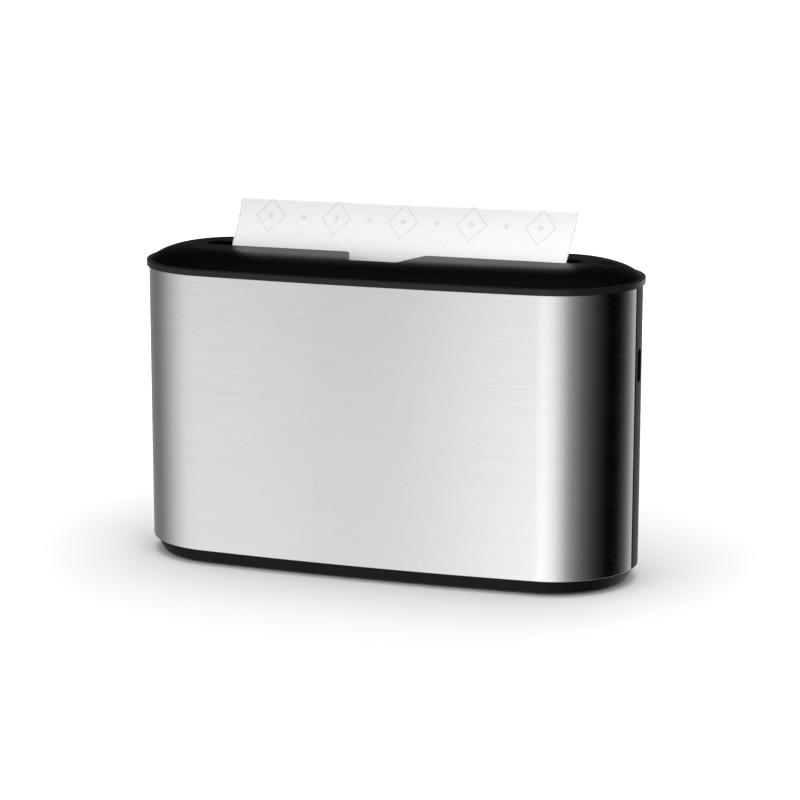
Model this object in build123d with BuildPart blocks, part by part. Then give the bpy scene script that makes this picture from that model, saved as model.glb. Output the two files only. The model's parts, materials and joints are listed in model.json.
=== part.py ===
from build123d import *

import os
from math import atan2, cos, degrees, radians, sin, tan

os.makedirs("parts", exist_ok=True)

# Countertop dispenser for folded paper towels. Two steel panels wrap a black moulded body,
# a domed lid lifts off the top, and the top towel stands out of the slot in the lid.
# X runs along the long face, the front faces -Y, Z is up, and the feet stand on Z = 0.
# All sizes are in millimetres and all angles in degrees.

# Folded towels, and the room round them that sets the plan outline of the steel
towel_width = 219.5
towel_depth = 85.0
towel_shift = 1.9
towel_side_room = 14.8
button_end_room = 21.7
face_bow = 3.5

# Heights
foot_height = 1.2
skirt_lift = 1.0
plinth_height = 10.1
panel_height = 176.1
rim_height = 4.1
crown_height = 8.6

# Wall thicknesses
steel_gauge = 1.0
shell_wall = 2.0
plinth_wall = 2.4
lid_wall = 2.4
rib_wall = 1.6

# Clearances
seat_gap = 0.3
slide_gap = 0.4
screw_gap = 0.05
rod_gap = 0.05
bushing_gap = 0.06
steel_gap = 0.2

# Plinth and its bottom cover
plinth_top_inset = 1.5
plinth_draft = 27.5
deck_thickness = 2.1
upstand_height = 8.0
cover_thickness = 2.6
cover_skirt_gap = 0.4
screw_recess = 1.4
foot_radius = 7.5
foot_plug_radius = 2.5
foot_end_inset = 42.0
foot_side_inset = 31.3
ballast_foot_gap = 5.5
ballast_side_inset = 27.3
cover_screw_end_inset = 28.0
cover_screw_side_inset = 39.3
cover_screw_grip = 3.0

# Side strips between the two steel panels, with a level window in each
strip_width = 13.2
strip_groove = 1.8
window_width = 8.6
window_height = 21.4
window_drop = 49.2
window_recess = 1.4
window_flange = 2.0

# Rim frame on top of the body
rim_overhang = 1.5
rim_opening_inset = 9.5
bridge_thickness = 2.5
bridge_drop = 1.2
load_opening_room = 5.0
frame_screw_edge = 6.0
frame_screw_side_inset = 19.3
screw_post_radius = 4.0
screw_post_height = 16.0

# Lid crown, swept round the outline
crown_step = 2.5
plateau_inset = 29.5
crown_start_angle = 47.0
crown_start_pull = 5.0
crown_flat_pull = 12.0
spigot_depth = 3.0
slot_end_room = 13.55
slot_width = 14.8
slot_edge_round = 0.8
notch_mouth = 50.0
notch_front = 32.8
notch_side_inset = 22.0
notch_corner = 4.0

# Guide plate under the lid
guide_thickness = 2.0
guide_drop = 1.7
guide_screw_end_edge = 3.0
guide_screw_side_edge = 12.0
guide_screw_side_inset = 16.5
guide_corner = 14.0
guide_slot_end_room = 4.25
lid_boss_radius = 3.4

# Press buttons and the latches that they turn
button_offset = 9.3
button_radius_x = 9.0
button_radius_y = 12.0
button_gap = 0.25
button_wall = 1.2
button_top = 1.4
button_drop = 0.9
button_travel = 2.4
button_dish_radius = 80.0
button_dish_depth = 1.0
button_dish_tilt = 8.0
pivot_end_room = 5.7
pivot_rise = 1.2
pivot_pin_radius = 1.0
latch_width = 6.0
latch_thickness = 2.4
latch_hub_radius = 2.2
latch_reach = 11.0
latch_arm_end = 2.0
nub_radius = 1.6
nub_gap = 0.5
hook_swing = 2.6
hook_nose = 2.2
hook_nose_height = 2.4
ear_gap = 0.3

# Stack and top towel, platform and lift
stack_height = 103.2
towel_sheet = 0.6
towel_stand = 26.6
towel_lean_left = 18.0
towel_lean_right = 33.0
towel_bend = 14.0
well_gap = 1.0
well_wall = 1.5
well_top_gap = 5.0
well_tab_thickness = 2.0
well_screw_end_inset = 39.75
well_tab = 16.0
platform_thickness = 3.0
platform_gap = 0.6
platform_corner = 4.0
platform_rib_height = 4.0
platform_rib_side_inset = 20.5
ear_width = 20.0
ear_gap_y = 2.0
rod_offset = 9.0
rod_radius = 2.5
bushing_wall = 1.5
bushing_drop = 5.0
bushing_flange = 1.3
rod_boss_wall = 3.0
socket_depth = 4.0
spring_radius = 4.8
spring_wire = 0.9
spring_turns = 11

# Fasteners and button springs
screw_radius = 1.2
screw_head_radius = 2.0
screw_head_height = 1.4
screw_length = 6.0
button_spring_radius = 1.7
button_spring_wire = 0.45
button_spring_turns = 4
button_spring_height = 5.1
button_spring_y = 7.2

# Derived places along the long face, from the towels outwards
slot_length = towel_width + 2 * slot_end_room
guide_slot_length = towel_width + 2 * guide_slot_end_room
pivot_x = slot_length / 2 + pivot_end_room
rod_x = pivot_x + rod_offset
button_x = pivot_x + button_offset
body_length = 2 * (button_x + button_end_room)
body_depth = towel_depth + 2 * towel_side_room

# Derived outline values
end_radius = body_depth / 2 - face_bow
end_centre = body_length / 2 - end_radius
face_radius = (end_centre**2 + face_bow * (body_depth - face_bow)) / (2 * face_bow)
face_centre = face_radius - body_depth / 2
blend_angle = degrees(atan2(end_centre, face_centre))

# Derived heights
deck_top = plinth_height
deck_bottom = deck_top - deck_thickness
cover_bottom = foot_height
cover_top = cover_bottom + cover_thickness
panel_top = plinth_height + panel_height
rim_top = panel_top + rim_height
plateau = rim_top + crown_height
bridge_top = panel_top - bridge_drop
bridge_bottom = bridge_top - bridge_thickness
guide_top = rim_top - guide_drop
guide_bottom = guide_top - guide_thickness
stack_top = guide_bottom - seat_gap
platform_top = stack_top - stack_height
platform_bottom = platform_top - platform_thickness
pivot_height = rim_top + pivot_rise
window_centre = panel_top - window_drop

# Derived insets of the nested walls, measured in from the steel face
shell_outer = steel_gauge + steel_gap
shell_inner = shell_outer + shell_wall
upstand_outer = shell_inner + seat_gap
upstand_inner = upstand_outer + shell_wall
crown_inset = crown_step - rim_overhang
spigot_outer = rim_opening_inset + slide_gap
skirt_lean = (deck_bottom - skirt_lift) * tan(radians(plinth_draft))
cover_inset = plinth_top_inset + plinth_wall + skirt_lean + cover_skirt_gap

# Derived heights of the latches and buttons
arm_top = pivot_height + latch_thickness / 2
hub_top = pivot_height + latch_hub_radius + seat_gap
button_bottom = arm_top + button_drop
floor_top = button_bottom - button_travel - seat_gap
floor_bottom = floor_top - rib_wall / 2

# Derived places of the wells, screws, feet and notch
well_y = towel_depth / 2 + well_gap
well_x = towel_width / 2 + towel_shift + well_gap
well_screw_x = towel_width / 2 - well_screw_end_inset
well_screw_y = well_y + well_wall + screw_head_radius + seat_gap
load_opening_length = 2 * (well_x + well_wall + load_opening_room)
frame_screw_x = load_opening_length / 2 + frame_screw_edge
frame_screw_y = body_depth / 2 - frame_screw_side_inset
guide_screw_x = well_x + screw_head_radius + seat_gap
guide_screw_y = towel_depth / 2 - guide_screw_side_inset
guide_length = 2 * (guide_screw_x + guide_screw_end_edge)
guide_depth = 2 * (guide_screw_y + guide_screw_side_edge)
platform_rib_y = towel_depth / 2 - platform_rib_side_inset
cover_screw_x = body_length / 2 - cover_screw_end_inset
cover_screw_y = body_depth / 2 - cover_screw_side_inset
foot_x = body_length / 2 - foot_end_inset
foot_y = body_depth / 2 - foot_side_inset
ballast_length = 2 * (foot_x - foot_radius - ballast_foot_gap)
ballast_depth = body_depth - 2 * ballast_side_inset
notch_reach = body_depth / 2 - notch_side_inset
sides = {"left": -1, "right": 1}
rising = (Align.CENTER, Align.CENTER, Align.MIN)
hanging = (Align.CENTER, Align.CENTER, Align.MAX)


def outline(inset=0.0):
    """Plan outline of four tangent arcs, drawn inside the steel face by inset."""
    with BuildSketch() as shape:
        with BuildLine():
            CenterArc((end_centre, 0), end_radius - inset, blend_angle - 90, 180 - 2 * blend_angle)
            CenterArc((0, -face_centre), face_radius - inset, 90 - blend_angle, 2 * blend_angle)
            CenterArc((-end_centre, 0), end_radius - inset, 90 + blend_angle, 180 - 2 * blend_angle)
            CenterArc((0, face_centre), face_radius - inset, 270 - blend_angle, 2 * blend_angle)
        make_face()
    return shape.sketch


def band(outer_inset, inner_inset):
    """Closed band between two insets of the outline."""
    with BuildSketch() as shape:
        add(outline(outer_inset))
        add(outline(inner_inset), mode=Mode.SUBTRACT)
    return shape.sketch


def closed_path(inset):
    """Wire round the outline that starts on the +X axis, heading for the rear."""
    with BuildLine() as path:
        CenterArc((end_centre, 0), end_radius - inset, 0, 90 - blend_angle)
        CenterArc((0, -face_centre), face_radius - inset, 90 - blend_angle, 2 * blend_angle)
        CenterArc((-end_centre, 0), end_radius - inset, 90 + blend_angle, 180 - 2 * blend_angle)
        CenterArc((0, face_centre), face_radius - inset, 270 - blend_angle, 2 * blend_angle)
        CenterArc((end_centre, 0), end_radius - inset, blend_angle - 90, 90 - blend_angle)
    return path.wire()


def crown(shrink=0.0):
    """Solid dome of the lid above the rim, moved in and down by shrink."""
    foot_x_outer = body_length / 2 - crown_inset - shrink
    foot_x_inner = body_length / 2 + rim_overhang - plateau_inset - shrink
    foot_z = rim_top - shrink
    top_z = plateau - shrink
    with BuildPart() as dome:
        with BuildSketch(Plane.XZ):
            with BuildLine():
                start = (foot_x_outer, foot_z)
                rise = PolarLine(start, crown_start_pull, 180 - crown_start_angle, mode=Mode.PRIVATE)
                lean = (foot_x_inner + crown_flat_pull, top_z)
                Bezier(start, rise @ 1, lean, (foot_x_inner, top_z))
                Polyline((foot_x_inner, top_z), (foot_x_inner, foot_z), start)
            make_face()
        sweep(path=closed_path(crown_inset + shrink))
        with BuildSketch(Plane.XY.offset(foot_z)):
            add(outline(plateau_inset - rim_overhang + shrink))
        extrude(amount=top_z - foot_z)
    return dome.part


def throat():
    """Opening in the lid: the long towel slot and the finger notch in its front edge."""
    with BuildSketch() as shape:
        SlotOverall(slot_length, slot_width)
        with BuildLine():
            Polyline(
                (-notch_mouth / 2, -slot_width / 4),
                (-notch_mouth / 2, -slot_width / 2),
                (-notch_front / 2, -notch_reach),
                (notch_front / 2, -notch_reach),
                (notch_mouth / 2, -slot_width / 2),
                (notch_mouth / 2, -slot_width / 4),
                close=True,
            )
        make_face()
        front_corners = shape.vertices().group_by(Axis.Y)[0]
        fillet(front_corners, notch_corner)
        mouth = [v for v in shape.vertices() if abs(abs(v.X) - notch_mouth / 2) < 0.1]
        fillet(mouth, notch_corner)
    return shape.sketch


def end_prism(side, width, height, near, far):
    """Upright obround prism at window height through one end wall, from X = near to X = far."""
    with BuildPart() as prism:
        with BuildSketch(Plane.YZ.offset(side * near)):
            with Locations((0, window_centre)):
                SlotOverall(height, width, rotation=90)
        extrude(amount=side * (far - near))
    return prism.part


def screw(length=screw_length, head=screw_head_radius):
    """Cross recess screw, head underside at the origin and shank down along -Z."""
    with BuildPart() as body:
        Cylinder(head, screw_head_height, align=rising)
        fillet(body.edges().group_by(Axis.Z)[-1], screw_head_height / 3)
        Cylinder(screw_radius, length, align=hanging)
        with BuildSketch(Plane.XY.offset(screw_head_height / 2)):
            Rectangle(head * 1.2, head * 0.3)
            Rectangle(head * 0.3, head * 1.2)
        extrude(amount=screw_head_height, mode=Mode.SUBTRACT)
    return body.part


def coil(radius, wire, turns, height):
    """Compression spring that stands on the origin."""
    with BuildPart() as spring:
        with BuildLine() as path:
            Helix(pitch=(height - wire) / turns, height=height - wire, radius=radius)
        with BuildSketch(Plane(path.line @ 0, z_dir=path.line % 0)):
            Circle(wire / 2)
        sweep(path=path.line)
    return spring.part


def four(x, y, z=0.0):
    """Four points mirrored about both upright mid planes."""
    return [(sx * x, sy * y, z) for sx in (-1, 1) for sy in (-1, 1)]


# Plinth: a drafted skirt under a deck, with an upstand inside the body and two rod bosses
with BuildPart() as base:
    with BuildSketch(Plane.XY.offset(deck_top)):
        add(outline(plinth_top_inset))
    extrude(amount=skirt_lift - deck_top, taper=plinth_draft)
    fillet(base.edges().group_by(Axis.Z)[0], plinth_wall / 2)
    with BuildSketch(Plane.XY.offset(deck_bottom)):
        add(outline(plinth_top_inset + plinth_wall))
    extrude(amount=skirt_lift - deck_bottom, taper=plinth_draft, mode=Mode.SUBTRACT)
    with BuildSketch(Plane.XY.offset(deck_top)):
        add(band(upstand_outer, upstand_inner))
        with Locations((-rod_x, 0), (rod_x, 0)):
            Circle(rod_radius + rod_boss_wall)
    extrude(amount=upstand_height)
    with BuildSketch(Plane.XY.offset(cover_top)):
        with Locations(*four(cover_screw_x, cover_screw_y)):
            Circle(screw_radius + rib_wall)
        with Locations(*four(well_screw_x, well_screw_y)):
            Circle(screw_radius + rib_wall)
    extrude(amount=deck_bottom - cover_top)
    with Locations(*four(cover_screw_x, cover_screw_y, cover_top)):
        Cylinder(screw_radius + screw_gap, deck_bottom - cover_top, align=rising, mode=Mode.SUBTRACT)
    with Locations(*four(well_screw_x, well_screw_y, deck_top)):
        Cylinder(screw_radius + screw_gap, screw_length, align=hanging, mode=Mode.SUBTRACT)
    with Locations((-rod_x, 0, deck_top), (rod_x, 0, deck_top)):
        Cylinder(rod_radius + rod_gap, upstand_height, align=rising, mode=Mode.SUBTRACT)
base.part.label = "base"
export_step(base.part, "parts/base.step")

# Flat cover that closes the plinth from below, with recesses for its screws
with BuildPart() as bottom_cover:
    with BuildSketch(Plane.XY.offset(cover_bottom)):
        add(outline(cover_inset))
        with Locations(*four(foot_x, foot_y)):
            Circle(foot_plug_radius + screw_gap, mode=Mode.SUBTRACT)
    extrude(amount=cover_thickness)
    with Locations(*four(cover_screw_x, cover_screw_y, cover_bottom)):
        Cylinder(screw_head_radius + seat_gap, screw_recess, align=rising, mode=Mode.SUBTRACT)
        Cylinder(screw_radius + seat_gap, cover_thickness, align=rising, mode=Mode.SUBTRACT)
bottom_cover.part.label = "bottom_cover"
export_step(bottom_cover.part, "parts/bottom_cover.step")

# Steel ballast that lies on the cover and keeps the body still while a towel is pulled
with BuildPart() as ballast_plate:
    with BuildSketch(Plane.XY.offset(cover_top)):
        RectangleRounded(ballast_length, ballast_depth, foot_radius)
    extrude(amount=deck_bottom - seat_gap - cover_top)
ballast_plate.part.label = "ballast_plate"
export_step(ballast_plate.part, "parts/ballast_plate.step")

# Four rubber feet, each with a plug through the cover
with BuildPart() as rubber_feet:
    with Locations(*four(foot_x, foot_y)):
        Cylinder(foot_radius, foot_height, align=rising)
    fillet(rubber_feet.edges().group_by(Axis.Z)[0], foot_height / 3)
    with Locations(*four(foot_x, foot_y, cover_bottom)):
        Cylinder(foot_plug_radius, cover_thickness, align=rising)
rubber_feet.part.label = "rubber_feet"
export_step(rubber_feet.part, "parts/rubber_feet.step")

# Screws of the bottom cover, driven up into the plinth from their recesses
with BuildPart() as cover_screws:
    for x, y, z in four(cover_screw_x, cover_screw_y, cover_bottom + screw_recess):
        with Locations(Location((x, y, z), (180, 0, 0))):
            add(screw(cover_thickness + cover_screw_grip - screw_recess))
cover_screws.part.label = "cover_screws"
export_step(cover_screws.part, "parts/cover_screws.step")

# Moulded body inside the steel, with a window hole in each end and posts for the frame screws
with BuildPart() as body_shell:
    with BuildSketch(Plane.XY.offset(deck_top)):
        add(band(shell_outer, shell_inner))
    extrude(amount=panel_height)
    with BuildSketch(Plane.XY.offset(bridge_bottom)):
        with Locations(*four(frame_screw_x, frame_screw_y)):
            Circle(screw_post_radius)
        with Locations(*four(frame_screw_x, (frame_screw_y + body_depth / 2) / 2)):
            Rectangle(2 * rib_wall, body_depth / 2 - frame_screw_y)
        add(outline(shell_outer + rib_wall / 2), mode=Mode.INTERSECT)
        with Locations(*four(frame_screw_x, frame_screw_y)):
            Circle(screw_radius + screw_gap, mode=Mode.SUBTRACT)
    extrude(amount=-screw_post_height)
    for side in sides.values():
        lens_hole = end_prism(side, window_width, window_height, end_centre, body_length / 2)
        add(lens_hole, mode=Mode.SUBTRACT)
body_shell.part.label = "body_shell"
export_step(body_shell.part, "parts/body_shell.step")

# Brushed steel panels, each wrapped from one side strip round to the other
for panel_name, facing in (("front_panel", -1), ("rear_panel", 1)):
    with BuildPart() as panel:
        with BuildSketch(Plane.XY.offset(plinth_height)):
            add(band(0.0, steel_gauge))
            with Locations((0, facing * (body_depth + strip_width / 2 + strip_groove))):
                Rectangle(2 * body_length, 2 * body_depth, mode=Mode.INTERSECT)
        extrude(amount=panel_height)
        fillet(panel.edges().filter_by(Axis.Z), steel_gauge / 3)
    panel.part.label = panel_name
    export_step(panel.part, f"parts/{panel_name}.step")

# Black strips that cover the body between the panels, and their recessed level windows
for side_name, side in sides.items():
    strip_hole = end_prism(side, window_width, window_height, end_centre, body_length / 2 + rim_overhang)
    with BuildPart() as side_strip:
        with BuildSketch(Plane.XY.offset(plinth_height)):
            add(band(0.0, shell_outer))
            with Locations((side * body_length / 2, 0)):
                Rectangle(2 * end_radius, strip_width, mode=Mode.INTERSECT)
        extrude(amount=panel_height)
        add(strip_hole, mode=Mode.SUBTRACT)
    side_strip.part.label = f"{side_name}_side_strip"
    export_step(side_strip.part, f"parts/{side_name}_side_strip.step")

    lens_width = window_width - 2 * screw_gap
    lens_height = window_height - 2 * screw_gap
    lens_plug = end_prism(side, lens_width, lens_height, end_centre, body_length / 2)
    flange_width = window_width + 2 * window_flange
    flange_height = window_height + 2 * window_flange
    lens_flange = end_prism(side, flange_width, flange_height, end_centre, body_length / 2)
    with BuildPart() as flange:
        with BuildSketch(Plane.XY.offset(plinth_height)):
            add(band(shell_inner, shell_inner + steel_gauge))
        extrude(amount=panel_height)
        add(lens_flange, mode=Mode.INTERSECT)
    with BuildPart() as window:
        with BuildSketch(Plane.XY.offset(plinth_height)):
            add(band(shell_outer + window_recess - steel_gauge, shell_inner + steel_gauge))
        extrude(amount=panel_height)
        add(lens_plug, mode=Mode.INTERSECT)
        add(flange.part)
    window.part.label = f"{side_name}_window"
    export_step(window.part, f"parts/{side_name}_window.step")

# Guide walls round the towels: a long wall with a return at each end and two screwed tabs
well_height = bridge_bottom - well_top_gap - deck_top
return_depth = well_y + well_wall - ear_width / 2 - ear_gap_y
for wall_name, facing in (("front_guide_wall", -1), ("rear_guide_wall", 1)):
    wall_y = facing * (well_y + well_wall / 2)
    return_y = facing * (well_y + well_wall - return_depth / 2)
    tab_y = facing * (well_y + well_wall + screw_head_radius + seat_gap)
    with BuildPart() as guide_wall:
        with BuildSketch(Plane.XY.offset(deck_top)):
            with Locations((0, wall_y)):
                Rectangle(2 * (well_x + well_wall), well_wall)
            with Locations((-well_x - well_wall / 2, return_y), (well_x + well_wall / 2, return_y)):
                Rectangle(well_wall, return_depth)
        extrude(amount=well_height)
        with BuildSketch(Plane.XY.offset(deck_top)):
            with Locations((-well_screw_x, tab_y), (well_screw_x, tab_y)):
                Rectangle(well_tab, 2 * (screw_head_radius + seat_gap))
                Circle(screw_radius + screw_gap, mode=Mode.SUBTRACT)
        extrude(amount=well_tab_thickness)
    guide_wall.part.label = wall_name
    export_step(guide_wall.part, f"parts/{wall_name}.step")

# Screws of the guide walls
with BuildPart() as wall_screws:
    for x, y, z in four(well_screw_x, well_screw_y, deck_top + well_tab_thickness):
        with Locations((x, y, z)):
            add(screw())
wall_screws.part.label = "wall_screws"
export_step(wall_screws.part, "parts/wall_screws.step")

# Rim frame: the band on top of the steel, a skirt inside the body and a bridge at each end
hook_opening_inner = pivot_x - latch_thickness / 2 - hook_swing
hook_opening_outer = pivot_x + latch_thickness / 2 + hook_nose + seat_gap
with BuildPart() as top_frame:
    with BuildSketch(Plane.XY.offset(panel_top)):
        add(band(-rim_overhang, rim_opening_inset))
    extrude(amount=rim_height)
    fillet(top_frame.faces().sort_by(Axis.Z)[-1].outer_wire().edges(), rim_overhang / 2)
    with BuildSketch(Plane.XY.offset(bridge_bottom)):
        add(band(upstand_outer, upstand_inner))
    extrude(amount=panel_top - bridge_bottom)
    with BuildSketch(Plane.XY.offset(bridge_bottom)):
        add(outline(upstand_outer))
        Rectangle(load_opening_length, 2 * body_depth, mode=Mode.SUBTRACT)
    extrude(amount=bridge_thickness)
    with BuildSketch(Plane.XY.offset(bridge_bottom)):
        with Locations((-rod_x, 0), (rod_x, 0)):
            Circle(rod_radius + rod_boss_wall)
    extrude(amount=-socket_depth)
    with BuildSketch(Plane.XY.offset(bridge_top)):
        with Locations((-rod_x, 0), (rod_x, 0)):
            Circle(rod_radius + rod_gap)
        with Locations(*four(frame_screw_x, frame_screw_y)):
            Circle(screw_radius + screw_gap)
        for side in sides.values():
            with Locations((side * (hook_opening_inner + hook_opening_outer) / 2, 0)):
                Rectangle(hook_opening_outer - hook_opening_inner, latch_width + 2 * slide_gap)
    extrude(amount=-bridge_thickness - socket_depth, mode=Mode.SUBTRACT)
top_frame.part.label = "top_frame"
export_step(top_frame.part, "parts/top_frame.step")

# Screws that hold the rim frame on the posts of the body
with BuildPart() as frame_screws:
    for x, y, z in four(frame_screw_x, frame_screw_y, bridge_top):
        with Locations((x, y, z)):
            add(screw())
frame_screws.part.label = "frame_screws"
export_step(frame_screws.part, "parts/frame_screws.step")

# Guide rods and lift springs, one at each end of the platform
for side_name, side in sides.items():
    with BuildPart() as guide_rod:
        with Locations((side * rod_x, 0, deck_top)):
            Cylinder(rod_radius, bridge_top - seat_gap - deck_top, align=rising)
        chamfer(guide_rod.edges(), rod_radius / 8)
    guide_rod.part.label = f"{side_name}_guide_rod"
    export_step(guide_rod.part, f"parts/{side_name}_guide_rod.step")

    spring_foot = deck_top + upstand_height
    spring_height = platform_bottom - bushing_drop - spring_foot
    with BuildPart() as lift_spring:
        with Locations((side * rod_x, 0, spring_foot + spring_wire / 2)):
            add(coil(spring_radius, spring_wire, spring_turns, spring_height))
    lift_spring.part.label = f"{side_name}_lift_spring"
    export_step(lift_spring.part, f"parts/{side_name}_lift_spring.step")

# Platform under the towels, with ribs below and an ear with a sleeve boss round each rod
bushing_outer = rod_radius + bushing_gap + bushing_wall
boss_outer = bushing_outer + rib_wall
with BuildPart() as platform:
    with BuildSketch(Plane.XY.offset(platform_bottom)):
        plate_length = 2 * (well_x - platform_gap)
        RectangleRounded(plate_length, 2 * (well_y - platform_gap), platform_corner)
        SlotOverall(2 * rod_x + ear_width, ear_width)
    extrude(amount=platform_thickness)
    with BuildSketch(Plane.XY.offset(platform_bottom)):
        with Locations((0, -platform_rib_y), (0, platform_rib_y)):
            Rectangle(plate_length - 2 * platform_corner, rib_wall)
    extrude(amount=-platform_rib_height)
    with BuildSketch(Plane.XY.offset(platform_bottom)):
        with Locations((-rod_x, 0), (rod_x, 0)):
            Circle(boss_outer)
    extrude(amount=-bushing_drop)
    with BuildSketch(Plane.XY.offset(platform_top)):
        with Locations((-rod_x, 0), (rod_x, 0)):
            Circle(bushing_outer)
    extrude(amount=-platform_thickness - bushing_drop, mode=Mode.SUBTRACT)
platform.part.label = "platform"
export_step(platform.part, "parts/platform.step")

# Flanged sleeves that run on the rods
with BuildPart() as platform_bushings:
    with BuildSketch(Plane.XY.offset(platform_top)):
        with Locations((-rod_x, 0), (rod_x, 0)):
            Circle(bushing_outer)
    extrude(amount=-platform_thickness - bushing_drop)
    with BuildSketch(Plane.XY.offset(platform_top)):
        with Locations((-rod_x, 0), (rod_x, 0)):
            Circle(bushing_outer + bushing_flange)
    extrude(amount=bushing_wall / 2)
    with Locations((-rod_x, 0, platform_top), (rod_x, 0, platform_top)):
        Cylinder(rod_radius + bushing_gap, 4 * bushing_drop, mode=Mode.SUBTRACT)
platform_bushings.part.label = "platform_bushings"
export_step(platform_bushings.part, "parts/platform_bushings.step")

# Stack of folded towels on the platform, with its folds along the two long sides
with BuildPart() as towel_stack:
    with BuildSketch(Plane.XY.offset(platform_top)):
        with Locations((towel_shift, 0)):
            Rectangle(towel_width, towel_depth)
    extrude(amount=stack_height)
    fillet(towel_stack.edges().filter_by(Axis.X), 4 * towel_sheet)
towel_stack.part.label = "towel_stack"
export_step(towel_stack.part, "parts/towel_stack.step")

# Top towel: a thin sheet up through the slot, leaning back further on its right side
towel_foot = stack_top + seat_gap
towel_top = plateau + towel_stand
with BuildPart() as top_towel:
    for side in sides.values():
        lean = towel_lean_left if side < 0 else towel_lean_right
        bend_z = plateau + 2 * towel_sheet
        with BuildSketch(Plane.YZ.offset(towel_shift + side * towel_width / 2)):
            with BuildLine():
                front_edge = Bezier(
                    (0, towel_foot),
                    (0, bend_z),
                    (towel_bend, bend_z + 4 * towel_sheet),
                    (lean, towel_top),
                )
                rear_edge = Bezier(
                    (towel_sheet, towel_foot),
                    (towel_sheet, bend_z - towel_sheet),
                    (towel_bend + towel_sheet / 2, bend_z + 3 * towel_sheet),
                    (lean + towel_sheet, towel_top - towel_sheet / 2),
                )
                Line(front_edge @ 0, rear_edge @ 0)
                Line(front_edge @ 1, rear_edge @ 1)
            make_face()
    loft(ruled=True)
top_towel.part.label = "top_towel"
export_step(top_towel.part, "parts/top_towel.step")

# Lid: ribs, collar, wells and bosses under a hollow crown, all cut to the crown's outside,
# with a rounded lip round the slot and notch
with BuildPart() as crown_shell:
    add(crown())
    add(crown(lid_wall), mode=Mode.SUBTRACT)

with BuildPart() as lid_envelope:
    add(crown())
    with BuildSketch(Plane.XY.offset(bridge_top)):
        add(outline(crown_inset))
    extrude(amount=rim_top - bridge_top)

ear_y = latch_width / 2 + ear_gap + rib_wall / 2
with BuildPart() as lid:
    with BuildSketch(Plane.XY.offset(rim_top - spigot_depth)):
        add(band(spigot_outer, spigot_outer + rib_wall))
    extrude(amount=2 * spigot_depth)
    with BuildSketch(Plane.XY.offset(guide_top + seat_gap)):
        offset(throat(), rib_wall)
    extrude(amount=plateau - guide_top - seat_gap)
    with BuildSketch(Plane.XY.offset(guide_top)):
        with Locations(*four(guide_screw_x, guide_screw_y)):
            Circle(lid_boss_radius)
    extrude(amount=plateau - guide_top)
    with BuildSketch(Plane.XY.offset(pivot_height - latch_hub_radius)):
        with Locations(*four(pivot_x, ear_y)):
            Rectangle(2 * latch_hub_radius, rib_wall)
    extrude(amount=plateau - pivot_height)
    with BuildSketch(Plane.XY.offset(floor_bottom)):
        with Locations((-button_x, 0), (button_x, 0)):
            Ellipse(button_radius_x + button_gap + rib_wall, button_radius_y + button_gap + rib_wall)
    extrude(amount=plateau - floor_bottom)
    add(lid_envelope.part, mode=Mode.INTERSECT)
    add(crown_shell.part)
    with BuildSketch(Plane.XY.offset(floor_top)):
        with Locations((-button_x, 0), (button_x, 0)):
            Ellipse(button_radius_x + button_gap, button_radius_y + button_gap)
    extrude(amount=plateau - floor_top, mode=Mode.SUBTRACT)
    with BuildSketch(Plane.XY.offset(guide_bottom)):
        add(throat())
    extrude(amount=crown_height * 2, mode=Mode.SUBTRACT)
    channel_start = pivot_x - latch_hub_radius - seat_gap
    channel_end = pivot_x + latch_reach + latch_arm_end + seat_gap
    with BuildSketch(Plane.XY.offset(hub_top)):
        for side in sides.values():
            with Locations((side * (channel_start + channel_end) / 2, 0)):
                Rectangle(channel_end - channel_start, latch_width + 2 * ear_gap)
    extrude(amount=floor_bottom - rib_wall - hub_top, mode=Mode.SUBTRACT)
    with Locations((-pivot_x, 0, pivot_height), (pivot_x, 0, pivot_height)):
        Cylinder(pivot_pin_radius, 2 * ear_y + rib_wall, rotation=(90, 0, 0), mode=Mode.SUBTRACT)
    with Locations(*four(guide_screw_x, guide_screw_y, guide_top)):
        Cylinder(screw_radius + screw_gap, screw_length, align=rising, mode=Mode.SUBTRACT)
    throat_wire = throat().wires()[0]
    lip = [
        e
        for e in lid.edges()
        if e.center().Z > plateau - lid_wall
        and throat_wire.distance_to(Vertex(e.center().X, e.center().Y, 0)) < screw_gap
    ]
    fillet(lip, slot_edge_round)
lid.part.label = "lid"
export_step(lid.part, "parts/lid.step")

# Guide plate that holds the stack down and leads the towel to the slot
with BuildPart() as guide_plate:
    with BuildSketch(Plane.XY.offset(guide_bottom)):
        RectangleRounded(guide_length, guide_depth, guide_corner)
        SlotOverall(guide_slot_length, slot_width, mode=Mode.SUBTRACT)
        with Locations(*four(guide_screw_x, guide_screw_y)):
            Circle(screw_radius + screw_gap, mode=Mode.SUBTRACT)
    extrude(amount=guide_thickness)
guide_plate.part.label = "guide_plate"
export_step(guide_plate.part, "parts/guide_plate.step")

# Screws of the guide plate, driven up into the bosses of the lid
with BuildPart() as guide_plate_screws:
    for x, y, z in four(guide_screw_x, guide_screw_y, guide_bottom):
        with Locations(Location((x, y, z), (180, 0, 0))):
            add(screw())
guide_plate_screws.part.label = "guide_plate_screws"
export_step(guide_plate_screws.part, "parts/guide_plate_screws.step")

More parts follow.
